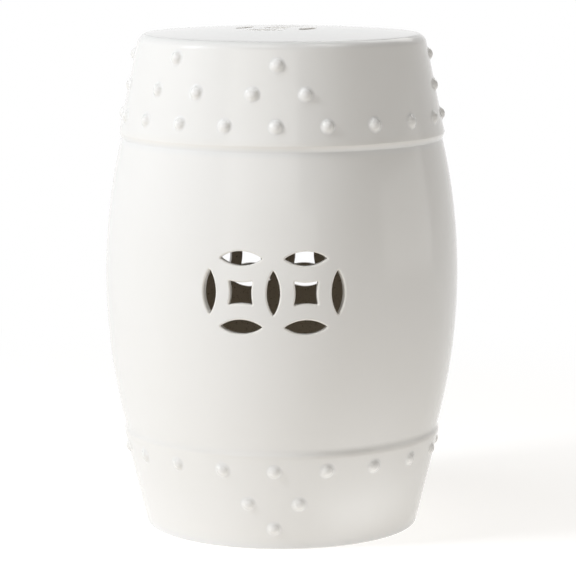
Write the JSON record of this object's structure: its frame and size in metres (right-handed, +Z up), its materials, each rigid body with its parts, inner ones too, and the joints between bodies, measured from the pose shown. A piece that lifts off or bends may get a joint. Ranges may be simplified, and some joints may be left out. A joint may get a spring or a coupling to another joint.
{
  "type": "ceramic garden stool",
  "caption": "Drum-shaped ceramic garden stool, hollow, with a domed seat, pierced interlocked coins on front, back and seat, and rows of round bosses on both bands.",
  "frame": {"origin": "centre of the foot, on the floor", "axes": "+Z up along the stool's axis, -Y towards the pierced front, +X to the right of someone facing the front"},
  "size_m": [0.3238, 0.3238, 0.457],
  "materials": {
    "white_glaze": "glossy white glaze fired over stoneware",
    "bare_clay": "unglazed brown stoneware, matt"
  },
  "bodies": {
    "root": {"seat_disc": "white_glaze", "upper_band": "white_glaze", "barrel": "white_glaze", "lower_band": "white_glaze", "foot_ring": "bare_clay", "upper_boss_row": "white_glaze", "upper_cluster_front": "white_glaze", "upper_cluster_front_left": "white_glaze", "upper_cluster_left": "white_glaze", "upper_cluster_back": "white_glaze", "upper_cluster_back_right": "white_glaze", "upper_cluster_right": "white_glaze", "lower_boss_row": "white_glaze", "lower_cluster_front": "white_glaze", "lower_cluster_back": "white_glaze"}
  },
  "joints": []
}
